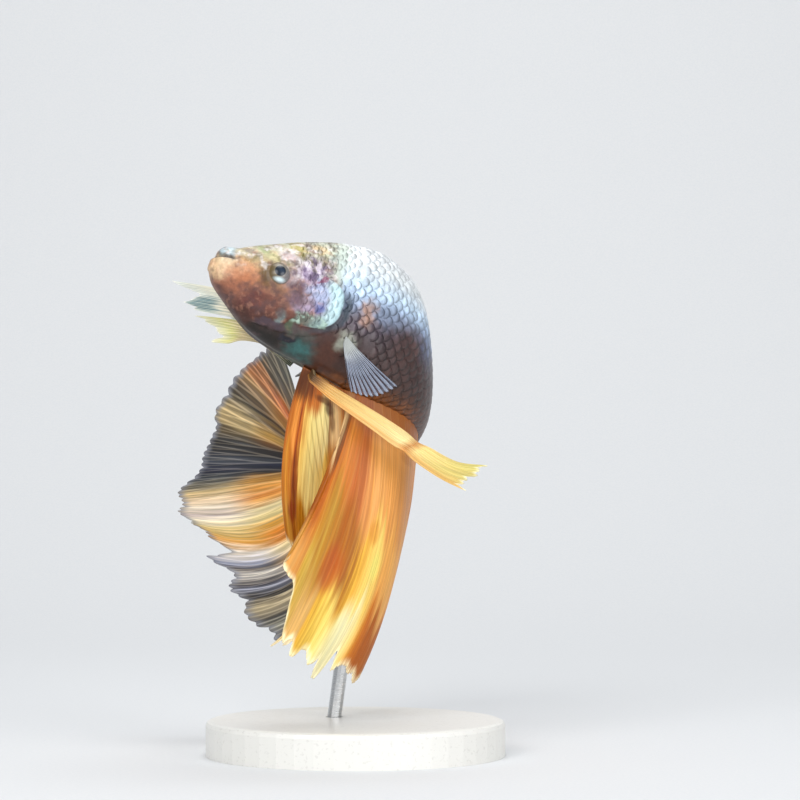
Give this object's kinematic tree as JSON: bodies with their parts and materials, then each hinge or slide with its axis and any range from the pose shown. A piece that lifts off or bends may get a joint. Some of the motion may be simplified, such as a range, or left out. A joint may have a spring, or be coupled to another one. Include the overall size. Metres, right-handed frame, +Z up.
{
  "type": "betta fish model",
  "caption": "Life-size still model of a male betta fish with flowing fins, turning on the spot, held over a round base by a thin rod.",
  "frame": {"origin": "centre of the underside of the stand's base", "axes": "+Z up; the fish's head points to -X and its left flank faces -Y"},
  "size_m": [0.0391, 0.0382, 0.058],
  "materials": {
    "cheek_orange": "glossy painted skin of the head, salmon orange and cream",
    "jaw_brown": "glossy painted skin, brown-grey",
    "gill_blue": "glossy painted skin with a pale blue sheen",
    "trunk_pearl": "pearly scaled skin",
    "rear_mauve": "scaled skin, mauve brown",
    "eye_dark": "polished eye",
    "fin_orange": "thin translucent orange fin",
    "fin_cream": "thin translucent cream fin",
    "fin_yellow": "thin yellow fin",
    "fin_clear": "thin clear fin with pale rays",
    "base_white": "satin off-white",
    "rod_steel": "fine brushed steel"
  },
  "bodies": {
    "root": {"head": "cheek_orange", "lower_jaw": "jaw_brown", "gill_cover_left": "gill_blue", "gill_cover_right": "gill_blue", "trunk_front": "trunk_pearl", "trunk_rear": "rear_mauve", "tail": "rear_mauve", "eye_left": "eye_dark", "eye_right": "eye_dark", "dorsal_fin": "fin_cream", "caudal_fin": "fin_cream", "anal_fin_front": "fin_orange", "anal_fin_rear": "fin_orange", "pelvic_fin_left": "fin_yellow", "pelvic_fin_right": "fin_yellow", "pectoral_fin_left": "fin_clear", "pectoral_fin_right": "fin_clear", "stand_base": "base_white", "stand_rod": "rod_steel"}
  },
  "joints": []
}
